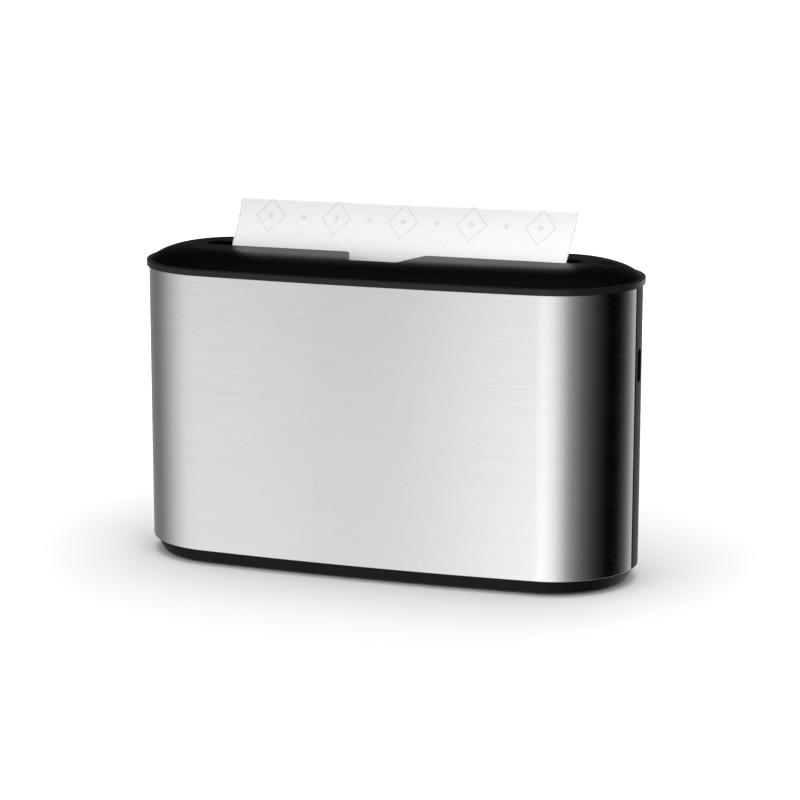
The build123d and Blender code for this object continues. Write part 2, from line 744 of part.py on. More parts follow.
# Press buttons at both ends of the lid, dished for a thumb, with their springs, and the
# latches that they turn
for side_name, side in sides.items():
    with BuildPart() as hollow:
        with BuildSketch(Plane.XY.offset(floor_bottom)):
            with Locations((side * button_x, 0)):
                Ellipse(button_radius_x - button_wall, button_radius_y - button_wall)
        extrude(amount=plateau - floor_bottom)
        add(crown(button_top), mode=Mode.INTERSECT)
    with BuildPart() as button:
        with BuildSketch(Plane.XY.offset(button_bottom)):
            with Locations((side * button_x, 0)):
                Ellipse(button_radius_x, button_radius_y)
        extrude(amount=plateau - button_bottom)
        add(hollow.part, mode=Mode.SUBTRACT)
        with BuildSketch(Plane.XY.offset(button_bottom)):
            with Locations((side * (button_x - button_radius_x), 0)):
                Rectangle(4 * button_wall, 2 * ear_y + rib_wall + 2 * slide_gap)
        extrude(amount=hub_top + button_travel - button_bottom, mode=Mode.SUBTRACT)
        with BuildSketch(Plane.XY.offset(arm_top + nub_gap)):
            with Locations((side * (pivot_x + latch_reach), 0)):
                Circle(nub_radius)
        extrude(amount=plateau - arm_top - nub_gap)
        add(crown(), mode=Mode.INTERSECT)
        dish_shift = button_dish_radius * sin(radians(button_dish_tilt))
        dish_rise = button_dish_radius * cos(radians(button_dish_tilt))
        dish_height = plateau - button_dish_depth + dish_rise
        with Locations((side * (button_x + dish_shift), 0, dish_height)):
            Sphere(button_dish_radius, mode=Mode.SUBTRACT)
    button.part.label = f"{side_name}_button"
    export_step(button.part, f"parts/{side_name}_button.step")

    with BuildPart() as button_springs:
        for y in (-button_spring_y, button_spring_y):
            with Locations((side * button_x, y, floor_top + button_spring_wire / 2)):
                add(coil(button_spring_radius, button_spring_wire, button_spring_turns, button_spring_height))
    button_springs.part.label = f"{side_name}_button_springs"
    export_step(button_springs.part, f"parts/{side_name}_button_springs.step")

    nose_top = bridge_bottom - seat_gap
    hook_bottom = nose_top - hook_nose_height
    half = latch_thickness / 2
    with BuildPart() as latch:
        with BuildSketch(Plane.XZ.offset(-latch_width / 2)):
            with Locations((side * pivot_x, pivot_height)):
                Circle(latch_hub_radius)
            with BuildLine():
                Polyline(
                    (side * (pivot_x - half), pivot_height + half),
                    (side * (pivot_x + latch_reach + latch_arm_end), arm_top),
                    (side * (pivot_x + latch_reach + latch_arm_end), pivot_height),
                    (side * (pivot_x + half), pivot_height - half),
                    (side * (pivot_x + half), nose_top),
                    (side * (pivot_x + half + hook_nose), nose_top),
                    (side * (pivot_x + half + hook_nose), nose_top - hook_nose_height / 3),
                    (side * (pivot_x + half), hook_bottom),
                    (side * (pivot_x - half), hook_bottom),
                    close=True,
                )
            make_face()
            with Locations((side * pivot_x, pivot_height)):
                Circle(pivot_pin_radius + bushing_gap, mode=Mode.SUBTRACT)
        extrude(amount=latch_width)
    latch.part.label = f"{side_name}_latch"
    export_step(latch.part, f"parts/{side_name}_latch.step")

    with BuildPart() as latch_pin:
        with Locations((side * pivot_x, 0, pivot_height)):
            Cylinder(pivot_pin_radius, 2 * ear_y + rib_wall, rotation=(90, 0, 0))
    latch_pin.part.label = f"{side_name}_latch_pin"
    export_step(latch_pin.part, f"parts/{side_name}_latch_pin.step")
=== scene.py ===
"""Looks for a countertop dispenser for folded paper towels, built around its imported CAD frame."""

import json
import logging
import math
from dataclasses import dataclass, field
from enum import Enum

import bpy
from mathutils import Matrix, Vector, noise


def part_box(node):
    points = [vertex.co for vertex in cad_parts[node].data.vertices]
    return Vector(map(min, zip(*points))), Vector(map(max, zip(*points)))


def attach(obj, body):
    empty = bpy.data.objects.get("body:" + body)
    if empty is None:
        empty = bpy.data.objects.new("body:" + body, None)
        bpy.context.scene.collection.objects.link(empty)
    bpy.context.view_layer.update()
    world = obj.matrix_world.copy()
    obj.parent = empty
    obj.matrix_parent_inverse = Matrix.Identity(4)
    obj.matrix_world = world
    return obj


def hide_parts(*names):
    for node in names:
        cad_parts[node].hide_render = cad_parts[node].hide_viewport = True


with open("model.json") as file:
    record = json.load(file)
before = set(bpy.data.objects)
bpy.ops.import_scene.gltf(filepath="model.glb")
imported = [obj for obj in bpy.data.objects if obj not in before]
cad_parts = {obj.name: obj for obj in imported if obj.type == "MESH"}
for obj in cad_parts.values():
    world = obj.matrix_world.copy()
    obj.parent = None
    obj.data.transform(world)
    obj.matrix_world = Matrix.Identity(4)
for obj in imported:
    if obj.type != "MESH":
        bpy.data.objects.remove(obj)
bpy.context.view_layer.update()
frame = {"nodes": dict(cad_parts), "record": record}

MM = 0.001
log = logging.getLogger("dispenser")

Colour = tuple[float, float, float, float]
Point = tuple[float, float, float]


class Side(Enum):
    """The two long sides of the dispenser, by the sign of Y."""

    FRONT = -1
    REAR = 1


# Shader helpers


class ShaderGraph:
    """A material with one Principled shader and short calls to add nodes to it."""

    def __init__(self, name: str) -> None:
        """Start a material.

        Args:
            name: Name of the material.
        """
        self.material = bpy.data.materials.new(name)
        self.material.use_nodes = True
        self.tree = self.material.node_tree
        self.shader = self.tree.nodes["Principled BSDF"]
        self.place = self.node("ShaderNodeTexCoord").outputs["Object"]

    def node(self, kind: str, **settings: object) -> bpy.types.Node:
        """Add a node.

        Args:
            kind: Node type.
            **settings: Attributes to set on it.

        Returns:
            The new node.
        """
        made = self.tree.nodes.new(kind)
        for key, value in settings.items():
            setattr(made, key, value)
        return made

    def link(self, source: bpy.types.NodeSocket, target: bpy.types.NodeSocket) -> None:
        """Join two sockets."""
        self.tree.links.new(source, target)

    def set(self, **values: object) -> None:
        """Set constants on the shader's own sockets, with _ for a space in a socket's name."""
        for key, value in values.items():
            self.shader.inputs[key.replace("_", " ")].default_value = value

    def grain(self, scale: Point, detail: float = 3.0, roughness: float = 0.55) -> bpy.types.NodeSocket:
        """Add noise on the piece's own coordinates.

        Args:
            scale: Cycles per metre along X, Y and Z.
            detail: Octaves of noise.
            roughness: Share of each finer octave.

        Returns:
            The noise value socket.
        """
        mapping = self.node("ShaderNodeMapping")
        mapping.inputs["Scale"].default_value = scale
        self.link(self.place, mapping.inputs["Vector"])
        texture = self.node("ShaderNodeTexNoise")
        texture.inputs["Scale"].default_value = 1.0
        texture.inputs["Detail"].default_value = detail
        texture.inputs["Roughness"].default_value = roughness
        self.link(mapping.outputs["Vector"], texture.inputs["Vector"])
        return texture.outputs["Fac"]

    def spread(self, value: bpy.types.NodeSocket, low: float, high: float) -> bpy.types.NodeSocket:
        """Map the middle range of a noise onto low to high.

        Args:
            value: Noise value.
            low: Result at noise 0.3.
            high: Result at noise 0.7.

        Returns:
            The mapped value socket.
        """
        ranged = self.node("ShaderNodeMapRange")
        ranged.inputs["From Min"].default_value = 0.3
        ranged.inputs["From Max"].default_value = 0.7
        ranged.inputs["To Min"].default_value = low
        ranged.inputs["To Max"].default_value = high
        self.link(value, ranged.inputs["Value"])
        return ranged.outputs["Result"]

    def tint(self, value: bpy.types.NodeSocket, low: Colour, high: Colour) -> bpy.types.NodeSocket:
        """Blend two colours by a value.

        Args:
            value: Blend value.
            low: Colour at 0.
            high: Colour at 1.

        Returns:
            The colour socket.
        """
        mix = self.node("ShaderNodeMix", data_type="RGBA")
        for socket, colour in zip([s for s in mix.inputs if s.type == "RGBA"], (low, high)):
            socket.default_value = colour
        self.link(value, mix.inputs["Factor"])
        return next(s for s in mix.outputs if s.type == "RGBA")

    def bump(self, height: bpy.types.NodeSocket, depth: float, strength: float = 1.0) -> None:
        """Give the shader a bump.

        Args:
            height: Height value from 0 to 1.
            depth: Height of the relief in metres.
            strength: Strength of the bump.
        """
        relief = self.node("ShaderNodeBump")
        relief.inputs["Distance"].default_value = depth
        relief.inputs["Strength"].default_value = strength
        self.link(height, relief.inputs["Height"])
        self.link(relief.outputs["Normal"], self.shader.inputs["Normal"])

    def math(self, operation: str, first: object, second: object = 0.0) -> bpy.types.NodeSocket:
        """Add a maths node.

        Args:
            operation: Operation of the node.
            first: Socket or number.
            second: Socket or number.

        Returns:
            The value socket.
        """
        made = self.node("ShaderNodeMath", operation=operation)
        for index, value in enumerate((first, second)):
            if isinstance(value, (int, float)):
                made.inputs[index].default_value = value
            else:
                self.link(value, made.inputs[index])
        return made.outputs["Value"]


# Finishes


@dataclass(frozen=True)
class Metal:
    """Bare or plated metal with a drawn, ground or brushed grain."""

    name: str
    dark: float
    light: float
    warmth: float = 0.0
    rough_low: float = 0.2
    rough_high: float = 0.3
    grain: Point = (400.0, 400.0, 400.0)
    depth: float = 0.00001
    anisotropy: float = 0.0

    def build(self) -> bpy.types.Material:
        """Make the material."""
        graph = ShaderGraph(self.name)
        graph.set(Metallic=1.0, Anisotropic=self.anisotropy)
        fine = graph.grain(self.grain, 4.0, 0.7)
        low = (self.dark, self.dark, self.dark - self.warmth, 1.0)
        high = (self.light, self.light, self.light - self.warmth, 1.0)
        graph.link(graph.tint(fine, low, high), graph.shader.inputs["Base Color"])
        graph.link(graph.spread(fine, self.rough_low, self.rough_high), graph.shader.inputs["Roughness"])
        graph.bump(fine, self.depth)
        return graph.material


@dataclass(frozen=True)
class BrushedSteel:
    """Stainless sheet brushed level, with long fine lines, short streaks and a soft cloudiness."""

    name: str = "brushed_steel"
    line_scale: Point = (16.0, 16.0, 2600.0)
    streak_scale: Point = (70.0, 70.0, 1500.0)
    cloud_scale: Point = (14.0, 14.0, 20.0)
    dark: Colour = (0.605, 0.605, 0.598, 1.0)
    light: Colour = (0.69, 0.69, 0.681, 1.0)
    line_low: float = 0.38
    line_high: float = 0.62
    cloud_share: float = 0.12
    mark_sharpness: float = 4.0
    mark_share: float = 0.16
    rough_low: float = 0.24
    rough_high: float = 0.32
    anisotropy: float = 0.72
    depth: float = 0.000004

    def build(self) -> bpy.types.Material:
        """Make the material."""
        graph = ShaderGraph(self.name)
        graph.set(Metallic=1.0, Anisotropic=self.anisotropy)
        lines = graph.grain(self.line_scale, 3.0, 0.6)
        streaks = graph.grain(self.streak_scale, 2.0, 0.5)
        cloud = graph.grain(self.cloud_scale, 2.0, 0.5)
        sharp = graph.spread(streaks, 0.0, 1.0)
        marks = graph.math("MULTIPLY", graph.math("POWER", sharp, self.mark_sharpness), self.mark_share)
        clouded = graph.math("MULTIPLY", cloud, self.cloud_share)
        body = graph.math("ADD", graph.spread(lines, self.line_low, self.line_high), clouded)
        tone = graph.math("SUBTRACT", body, marks)
        colour = graph.tint(tone, self.dark, self.light)
        graph.link(colour, graph.shader.inputs["Base Color"])
        graph.link(graph.spread(lines, self.rough_low, self.rough_high), graph.shader.inputs["Roughness"])
        graph.link(self._upright(graph), graph.shader.inputs["Tangent"])
        graph.bump(graph.math("ADD", lines, streaks), self.depth)
        return graph.material

    def _upright(self, graph: ShaderGraph) -> bpy.types.NodeSocket:
        """Return a tangent that runs up the sheet, across the brushed lines."""
        normal = graph.node("ShaderNodeNewGeometry").outputs["Normal"]
        level = graph.node("ShaderNodeVectorMath", operation="CROSS_PRODUCT")
        graph.link(normal, level.inputs[0])
        level.inputs[1].default_value = (0.0, 0.0, 1.0)
        upright = graph.node("ShaderNodeVectorMath", operation="CROSS_PRODUCT")
        graph.link(level.outputs["Vector"], upright.inputs[0])
        graph.link(normal, upright.inputs[1])
        return upright.outputs["Vector"]


@dataclass(frozen=True)
class Moulded:
    """Moulded plastic or rubber with a fine mould texture and slight wear in its gloss."""

    name: str
    dark: Colour
    light: Colour
    rough_low: float
    rough_high: float
    pitch: float = 1600.0
    depth: float = 0.00002
    gloss: float = 0.5
    broad_scale: float = 22.0
    fine_share: float = 0.45

    def build(self) -> bpy.types.Material:
        """Make the material."""
        graph = ShaderGraph(self.name)
        graph.set(IOR=1.48, Specular_IOR_Level=self.gloss)
        texture = graph.grain((self.pitch,) * 3, 3.0, 0.6)
        broad = graph.grain((self.broad_scale,) * 3, 3.0, 0.55)
        graph.link(graph.tint(broad, self.dark, self.light), graph.shader.inputs["Base Color"])
        fine_part = graph.math("MULTIPLY", texture, self.fine_share)
        broad_part = graph.math("MULTIPLY", broad, 1.0 - self.fine_share)
        mixed = graph.math("ADD", fine_part, broad_part)
        rough = graph.spread(mixed, self.rough_low, self.rough_high)
        graph.link(rough, graph.shader.inputs["Roughness"])
        graph.bump(texture, self.depth)
        return graph.material


@dataclass(frozen=True)
class Lens:
    """Smoked clear plastic of the level windows."""

    name: str = "smoked_lens"

    def build(self) -> bpy.types.Material:
        """Make the material."""
        graph = ShaderGraph(self.name)
        graph.set(IOR=1.49, Transmission_Weight=0.55, Coat_Weight=0.2)
        cloud = graph.grain((90.0, 90.0, 90.0), 2.0)
        colour = graph.tint(cloud, (0.012, 0.012, 0.014, 1.0), (0.03, 0.03, 0.034, 1.0))
        graph.link(colour, graph.shader.inputs["Base Color"])
        graph.link(graph.spread(cloud, 0.05, 0.14), graph.shader.inputs["Roughness"])
        graph.bump(cloud, 0.00001)
        return graph.material


@dataclass(frozen=True)
class Tissue:
    """White embossed tissue, with an optional pale print of dots and diamonds on the piece's own UVs."""

    name: str
    printed: bool = False
    emboss_pitch: float = 900.0
    emboss_depth: float = 0.00006
    print_pitch: float = 0.044
    print_start: float = 0.012
    motif_size: float = 0.0095
    line_width: float = 0.0006
    diamond_width: float = 0.8
    heart_share: float = 0.22
    dot_share: float = 0.18
    paper_low: Colour = (0.865, 0.867, 0.87, 1.0)
    paper_high: Colour = (0.915, 0.915, 0.915, 1.0)
    ink: Colour = (0.54, 0.65, 0.73, 1.0)

    def build(self) -> bpy.types.Material:
        """Make the material."""
        graph = ShaderGraph(self.name)
        graph.set(Roughness=0.9, Specular_IOR_Level=0.2, Sheen_Weight=0.15, Subsurface_Weight=0.08)
        graph.set(Subsurface_Radius=(0.004, 0.004, 0.004), Subsurface_Scale=0.3)
        fibre = graph.grain((700.0, 700.0, 700.0), 4.0, 0.6)
        paper = graph.tint(graph.spread(fibre, 0.0, 1.0), self.paper_low, self.paper_high)
        if self.printed:
            paper = self._ink(graph, paper)
        graph.link(paper, graph.shader.inputs["Base Color"])
        cells = graph.node("ShaderNodeTexVoronoi")
        cells.inputs["Scale"].default_value = self.emboss_pitch
        graph.link(graph.place, cells.inputs["Vector"])
        relief = graph.math("ADD", cells.outputs["Distance"], graph.math("MULTIPLY", fibre, 0.8))
        graph.bump(relief, self.emboss_depth, 0.6)
        return graph.material

    def _ink(self, graph: ShaderGraph, paper: bpy.types.NodeSocket) -> bpy.types.NodeSocket:
        """Print outlined diamonds and small dots over the paper.

        Args:
            graph: Material to add to.
            paper: Colour of the bare paper.

        Returns:
            The printed colour.
        """
        flat = graph.node("ShaderNodeUVMap", uv_map="sheet").outputs["UV"]
        split = graph.node("ShaderNodeSeparateXYZ")
        graph.link(flat, split.inputs["Vector"])
        raised = graph.math("SUBTRACT", split.outputs["Y"], self.print_start)
        rows = graph.math("DIVIDE", raised, self.print_pitch)
        shift = graph.math("MULTIPLY", graph.math("FLOOR", rows), 0.5)
        columns = graph.math("ADD", graph.math("DIVIDE", split.outputs["X"], self.print_pitch), shift)
        away_x = graph.math("ABSOLUTE", graph.math("SUBTRACT", graph.math("FRACT", columns), 0.5))
        away_y = graph.math("ABSOLUTE", graph.math("SUBTRACT", graph.math("FRACT", rows), 0.5))
        diamond = graph.math("ADD", away_x, graph.math("MULTIPLY", away_y, self.diamond_width))
        size = self.motif_size / self.print_pitch
        line = self.line_width / self.print_pitch
        ring = graph.math("LESS_THAN", graph.math("ABSOLUTE", graph.math("SUBTRACT", diamond, size)), line)
        heart = graph.math("LESS_THAN", diamond, size * self.heart_share)
        corner_x = graph.math("SUBTRACT", 0.5, away_x)
        squares = graph.math("ADD", graph.math("POWER", corner_x, 2.0), graph.math("POWER", away_y, 2.0))
        dot = graph.math("LESS_THAN", graph.math("SQRT", squares), size * self.dot_share)
        inked = graph.math("MAXIMUM", graph.math("MAXIMUM", ring, heart), dot)
        worn = graph.math("MULTIPLY", inked, graph.spread(graph.grain((500.0,) * 3), 0.25, 0.75))
        mix = graph.node("ShaderNodeMix", data_type="RGBA")
        sockets = [s for s in mix.inputs if s.type == "RGBA"]
        graph.link(paper, sockets[0])
        sockets[1].default_value = self.ink
        graph.link(worn, mix.inputs["Factor"])
        return next(s for s in mix.outputs if s.type == "RGBA")


def grey(value: float) -> Colour:
    """Return a neutral colour."""
    return (value, value, value, 1.0)


@dataclass
class FinishBook:
    """Every finish of the dispenser, by the record's material slot, and the nodes that wear it."""

    steel: BrushedSteel = BrushedSteel()
    lid: Moulded = Moulded("lid_gloss", grey(0.0012), grey(0.0024), 0.34, 0.42, 2400.0, 0.000004, 0.14)
    satin: Moulded = Moulded("black_satin", grey(0.0035), grey(0.007), 0.34, 0.46, 1500.0, 0.00002, 0.08)
    rim: Moulded = Moulded("rim_plastic", grey(0.008), grey(0.014), 0.24, 0.34, 1800.0, 0.000008, 0.22)
    grey_plastic: Moulded = Moulded("grey_plastic", grey(0.05), grey(0.075), 0.42, 0.55, 1400.0, 0.00004)
    sleeve: Moulded = Moulded(
        "bushing_plastic", (0.66, 0.65, 0.6, 1.0), (0.74, 0.73, 0.68, 1.0), 0.3, 0.42, 900.0
    )
    rubber: Moulded = Moulded("rubber", grey(0.012), grey(0.022), 0.7, 0.86, 1100.0, 0.00006, 0.3)
    ballast: Metal = Metal("ballast", 0.2, 0.34, 0.01, 0.45, 0.6, (60.0, 60.0, 60.0), 0.00003)
    screws: Metal = Metal("screw_steel", 0.42, 0.6, -0.02, 0.25, 0.4, (900.0, 900.0, 900.0), 0.00001)
    rods: Metal = Metal("rod_steel", 0.52, 0.66, 0.0, 0.16, 0.26, (300.0, 300.0, 5000.0), 0.000004)
    springs: Metal = Metal("spring_steel", 0.4, 0.56, 0.01, 0.22, 0.34, (1500.0, 1500.0, 1500.0), 0.000006)
    lens: Lens = Lens()
    paper: Tissue = Tissue("paper")
    towel: Tissue = Tissue("towel_paper", True)
    made: dict[str, bpy.types.Material] = field(default_factory=dict)

    def get(self, slot: str) -> bpy.types.Material:
        """Return the material of a slot, built when it is first asked for."""
        if slot not in self.made:
            finishes = {
                value.name: value for value in vars(self).values() if hasattr(value, "build")
            }
            self.made[slot] = finishes[slot].build()
        return self.made[slot]

    def dress_nodes(self) -> None:
        """Give every CAD node the finish that the record names for it."""
        for entry in frame["record"]["subparts"]:
            mesh = frame["nodes"][entry["node"]].data
            mesh.materials.clear()
            mesh.materials.append(self.get(entry["material_slot"]))
            log.info("node %s wears %s", entry["node"], entry["material_slot"])


# Mesh helpers


def new_object(name: str, points: list[Point], faces: list[tuple[int, ...]]) -> bpy.types.Object:
    """Make a mesh object at the origin.

    Args:
        name: Name of the piece.
        points: Vertices in metres.
        faces: Vertex indices of each face.

    Returns:
        The object, linked to the scene.
    """
    mesh = bpy.data.meshes.new(name)
    mesh.from_pydata(points, [], faces)
    mesh.update()
    made = bpy.data.objects.new(name, mesh)
    bpy.context.scene.collection.objects.link(made)
    return made


def bake(piece: bpy.types.Object) -> None:
    """Turn a piece's modifiers into plain mesh and remove them."""
    bpy.context.view_layer.update()
    evaluated = piece.evaluated_get(bpy.context.evaluated_depsgraph_get())
    result = bpy.data.meshes.new_from_object(evaluated)
    piece.modifiers.clear()
    result.name = piece.name
    piece.data = result


def settle(piece: bpy.types.Object, body: str, replaces: tuple[str, ...] = ()) -> None:
    """Make a finished piece ride on its body, and say what it stands for.

    Args:
        piece: The piece.
        body: CAD body that it moves with.
        replaces: CAD nodes that it stands for.
    """
    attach(piece, body)
    if replaces:
        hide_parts(*replaces)
    log.info("%s rides on %s with %d faces", piece.name, body, len(piece.data.polygons))


def bezier(a: Vector, b: Vector, c: Vector, d: Vector, t: float) -> Vector:
    """Return the point at t of a cubic curve with four control points."""
    s = 1.0 - t
    return s**3 * a + 3 * s * s * t * b + 3 * s * t * t * c + t**3 * d


# Geometry node helpers


class PieceTree:
    """A Geometry Nodes tree with named inputs, which ends in real faces with a finish."""

    def __init__(self, name: str, inputs: dict[str, object]) -> None:
        """Start a tree.

        Args:
            name: Name of the tree.
            inputs: Name and value of each size.
        """
        self.tree = bpy.data.node_groups.new(name, "GeometryNodeTree")
        face = self.tree.interface
        face.new_socket("Geometry", in_out="INPUT", socket_type="NodeSocketGeometry")
        self.values = inputs
        self.identifiers = {}
        for key, value in inputs.items():
            kind = "NodeSocketInt" if isinstance(value, int) else "NodeSocketFloat"
            made = face.new_socket(key, in_out="INPUT", socket_type=kind)
            self.identifiers[key] = made.identifier
        face.new_socket("Geometry", in_out="OUTPUT", socket_type="NodeSocketGeometry")
        self.given = self.tree.nodes.new("NodeGroupInput")

    def node(
        self, kind: str, links: dict[object, object] | None = None, **settings: object
    ) -> bpy.types.Node:
        """Add a node.

        Args:
            kind: Node type.
            links: Socket name or index, with the socket or constant that it takes.
            **settings: Attributes to set on it.

        Returns:
            The new node.
        """
        made = self.tree.nodes.new(kind)
        for key, value in settings.items():
            setattr(made, key, value)
        for key, value in (links or {}).items():
            if isinstance(value, bpy.types.NodeSocket):
                self.tree.links.new(value, made.inputs[key])
            else:
                made.inputs[key].default_value = value
        return made

    def take(self, name: str) -> bpy.types.NodeSocket:
        """Return the socket of a named input."""
        return self.given.outputs[name]

    def math(self, operation: str, first: object, second: object = 0.0) -> bpy.types.NodeSocket:
        """Return the result of a maths node."""
        return self.node("ShaderNodeMath", {0: first, 1: second}, operation=operation).outputs["Value"]

    def close(self, geometry: bpy.types.NodeSocket, finish: bpy.types.Material) -> None:
        """End the tree in Realize Instances and Set Material.

        Args:
            geometry: The finished geometry.
            finish: Material of all its faces.
        """
        real = self.node("GeometryNodeRealizeInstances", {"Geometry": geometry})
        dressed = self.node("GeometryNodeSetMaterial", {"Geometry": real.outputs["Geometry"]})
        dressed.inputs["Material"].default_value = finish
        output = self.tree.nodes.new("NodeGroupOutput")
        self.tree.links.new(dressed.outputs["Geometry"], output.inputs["Geometry"])

    def apply(self, piece: bpy.types.Object) -> None:
        """Run the tree on a piece and keep the plain mesh that comes out."""
        modifier = piece.modifiers.new(self.tree.name, "NODES")
        modifier.node_group = self.tree
        for key, value in self.values.items():
            modifier[self.identifiers[key]] = value
        bake(piece)


# Sub-assemblies


@dataclass(frozen=True)
class Outline:
    """Plan outline of the dispenser: four tangent arcs, two rounded ends and two bowed faces."""

    length: float
    depth: float
    bow: float = 3.5 * MM

    def point(self, turn: float, inset: float = 0.0) -> tuple[float, float]:
        """Return the outline's point where its outward normal has a given turn.

        Args:
            turn: Angle of the normal from +X, anticlockwise, in degrees.
            inset: Distance inside the outline.

        Returns:
            X and Y in metres.
        """
        end_radius = self.depth / 2 - self.bow
        end_centre = self.length / 2 - end_radius
        face_radius = (end_centre**2 + self.bow * (self.depth - self.bow)) / (2 * self.bow)
        face_centre = face_radius - self.depth / 2
        blend = math.degrees(math.atan2(end_centre, face_centre))
        turn = turn % 360.0
        out_x, out_y = math.cos(math.radians(turn)), math.sin(math.radians(turn))
        on_face = min(abs(turn - 90.0), abs(turn - 270.0)) < blend
        if on_face:
            reach = face_radius - inset
            return reach * out_x, reach * out_y - math.copysign(face_centre, out_y)
        reach = end_radius - inset
        return math.copysign(end_centre, out_x) + reach * out_x, reach * out_y

    def turns(self, start: float, stop: float, step: float = 1.5, fine: float = 0.25) -> list[float]:
        """Return normal turns from start to stop, closer together on the long faces."""
        found, turn = [], start
        while turn < stop - 1e-6:
            found.append(turn)
            near = min(abs(turn % 360 - 90.0), abs(turn % 360 - 270.0))
            turn += fine if near < 5.0 else step
        found.append(stop)
        return found


@dataclass
class SteelWrap:
    """A brushed sheet bent round one long side, with its four cut edges rolled smooth."""

    finish: bpy.types.Material
    outline: Outline
    side: Side
    gauge: float = 1.0 * MM
    edge_round: float = 0.36 * MM
    edge_steps: int = 3

    def build(self) -> bpy.types.Object:
        """Build the sheet.

        Returns:
            The piece.
        """
        node = f"{self.side.name.lower()}_panel"
        low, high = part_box(node)
        cut = low.y if self.side is Side.REAR else high.y
        end_radius = self.outline.depth / 2 - self.outline.bow
        lean = math.degrees(math.asin(abs(cut) / end_radius))
        start = lean if self.side is Side.REAR else 180.0 + lean
        turns = self.outline.turns(start, start + 180.0 - 2 * lean)
        path = [(*self.outline.point(turn, self.gauge / 2), 0.0) for turn in turns]
        mesh = bpy.data.meshes.new(f"{node}_wrap")
        mesh.from_pydata(path, [(i, i + 1) for i in range(len(path) - 1)], [])
        piece = bpy.data.objects.new(f"{self.side.name.lower()}_steel", mesh)
        bpy.context.scene.collection.objects.link(piece)
        self._tree(low.z, high.z).apply(piece)
        piece.data.shade_smooth()
        piece.data.set_sharp_from_angle(angle=math.radians(12.0))
        settle(piece, "housing", (node,))
        return piece

    def _tree(self, bottom: float, top: float) -> PieceTree:
        """Return the tree that draws a rounded sheet section along a path.

        Args:
            bottom: Height of the lower edge.
            top: Height of the upper edge.

        Returns:
            The tree.
        """
        tree = PieceTree(
            f"{self.side.name.lower()}_sheet",
            {
                "Gauge": self.gauge,
                "Bottom": bottom,
                "Top": top,
                "Edge Round": self.edge_round,
                "Edge Steps": self.edge_steps,
            },
        )
        height = tree.math("SUBTRACT", tree.take("Top"), tree.take("Bottom"))
        middle = tree.math("MULTIPLY", tree.math("ADD", tree.take("Top"), tree.take("Bottom")), 0.5)
        section = tree.node(
            "GeometryNodeCurvePrimitiveQuadrilateral", {"Width": tree.take("Gauge"), "Height": height}
        )
        rolled = tree.node(
            "GeometryNodeFilletCurve",
            {
                "Curve": section.outputs["Curve"],
                "Radius": tree.take("Edge Round"),
                "Count": tree.take("Edge Steps"),
            },
            mode="POLY",
        )
        path = tree.node("GeometryNodeMeshToCurve", {"Mesh": tree.take("Geometry")})
        upright = tree.node(
            "GeometryNodeSetCurveNormal", {"Curve": path.outputs["Curve"]}, mode="Z_UP"
        )
        swept = tree.node(
            "GeometryNodeCurveToMesh",
            {"Curve": upright.outputs["Curve"], "Profile Curve": rolled.outputs["Curve"], "Fill Caps": True},
        )
        lift = tree.node("ShaderNodeCombineXYZ", {"Z": middle})
        raised = tree.node(
            "GeometryNodeSetPosition",
            {"Geometry": swept.outputs["Mesh"], "Offset": lift.outputs["Vector"]},
        )
        tree.close(raised.outputs["Geometry"], self.finish)
        return tree


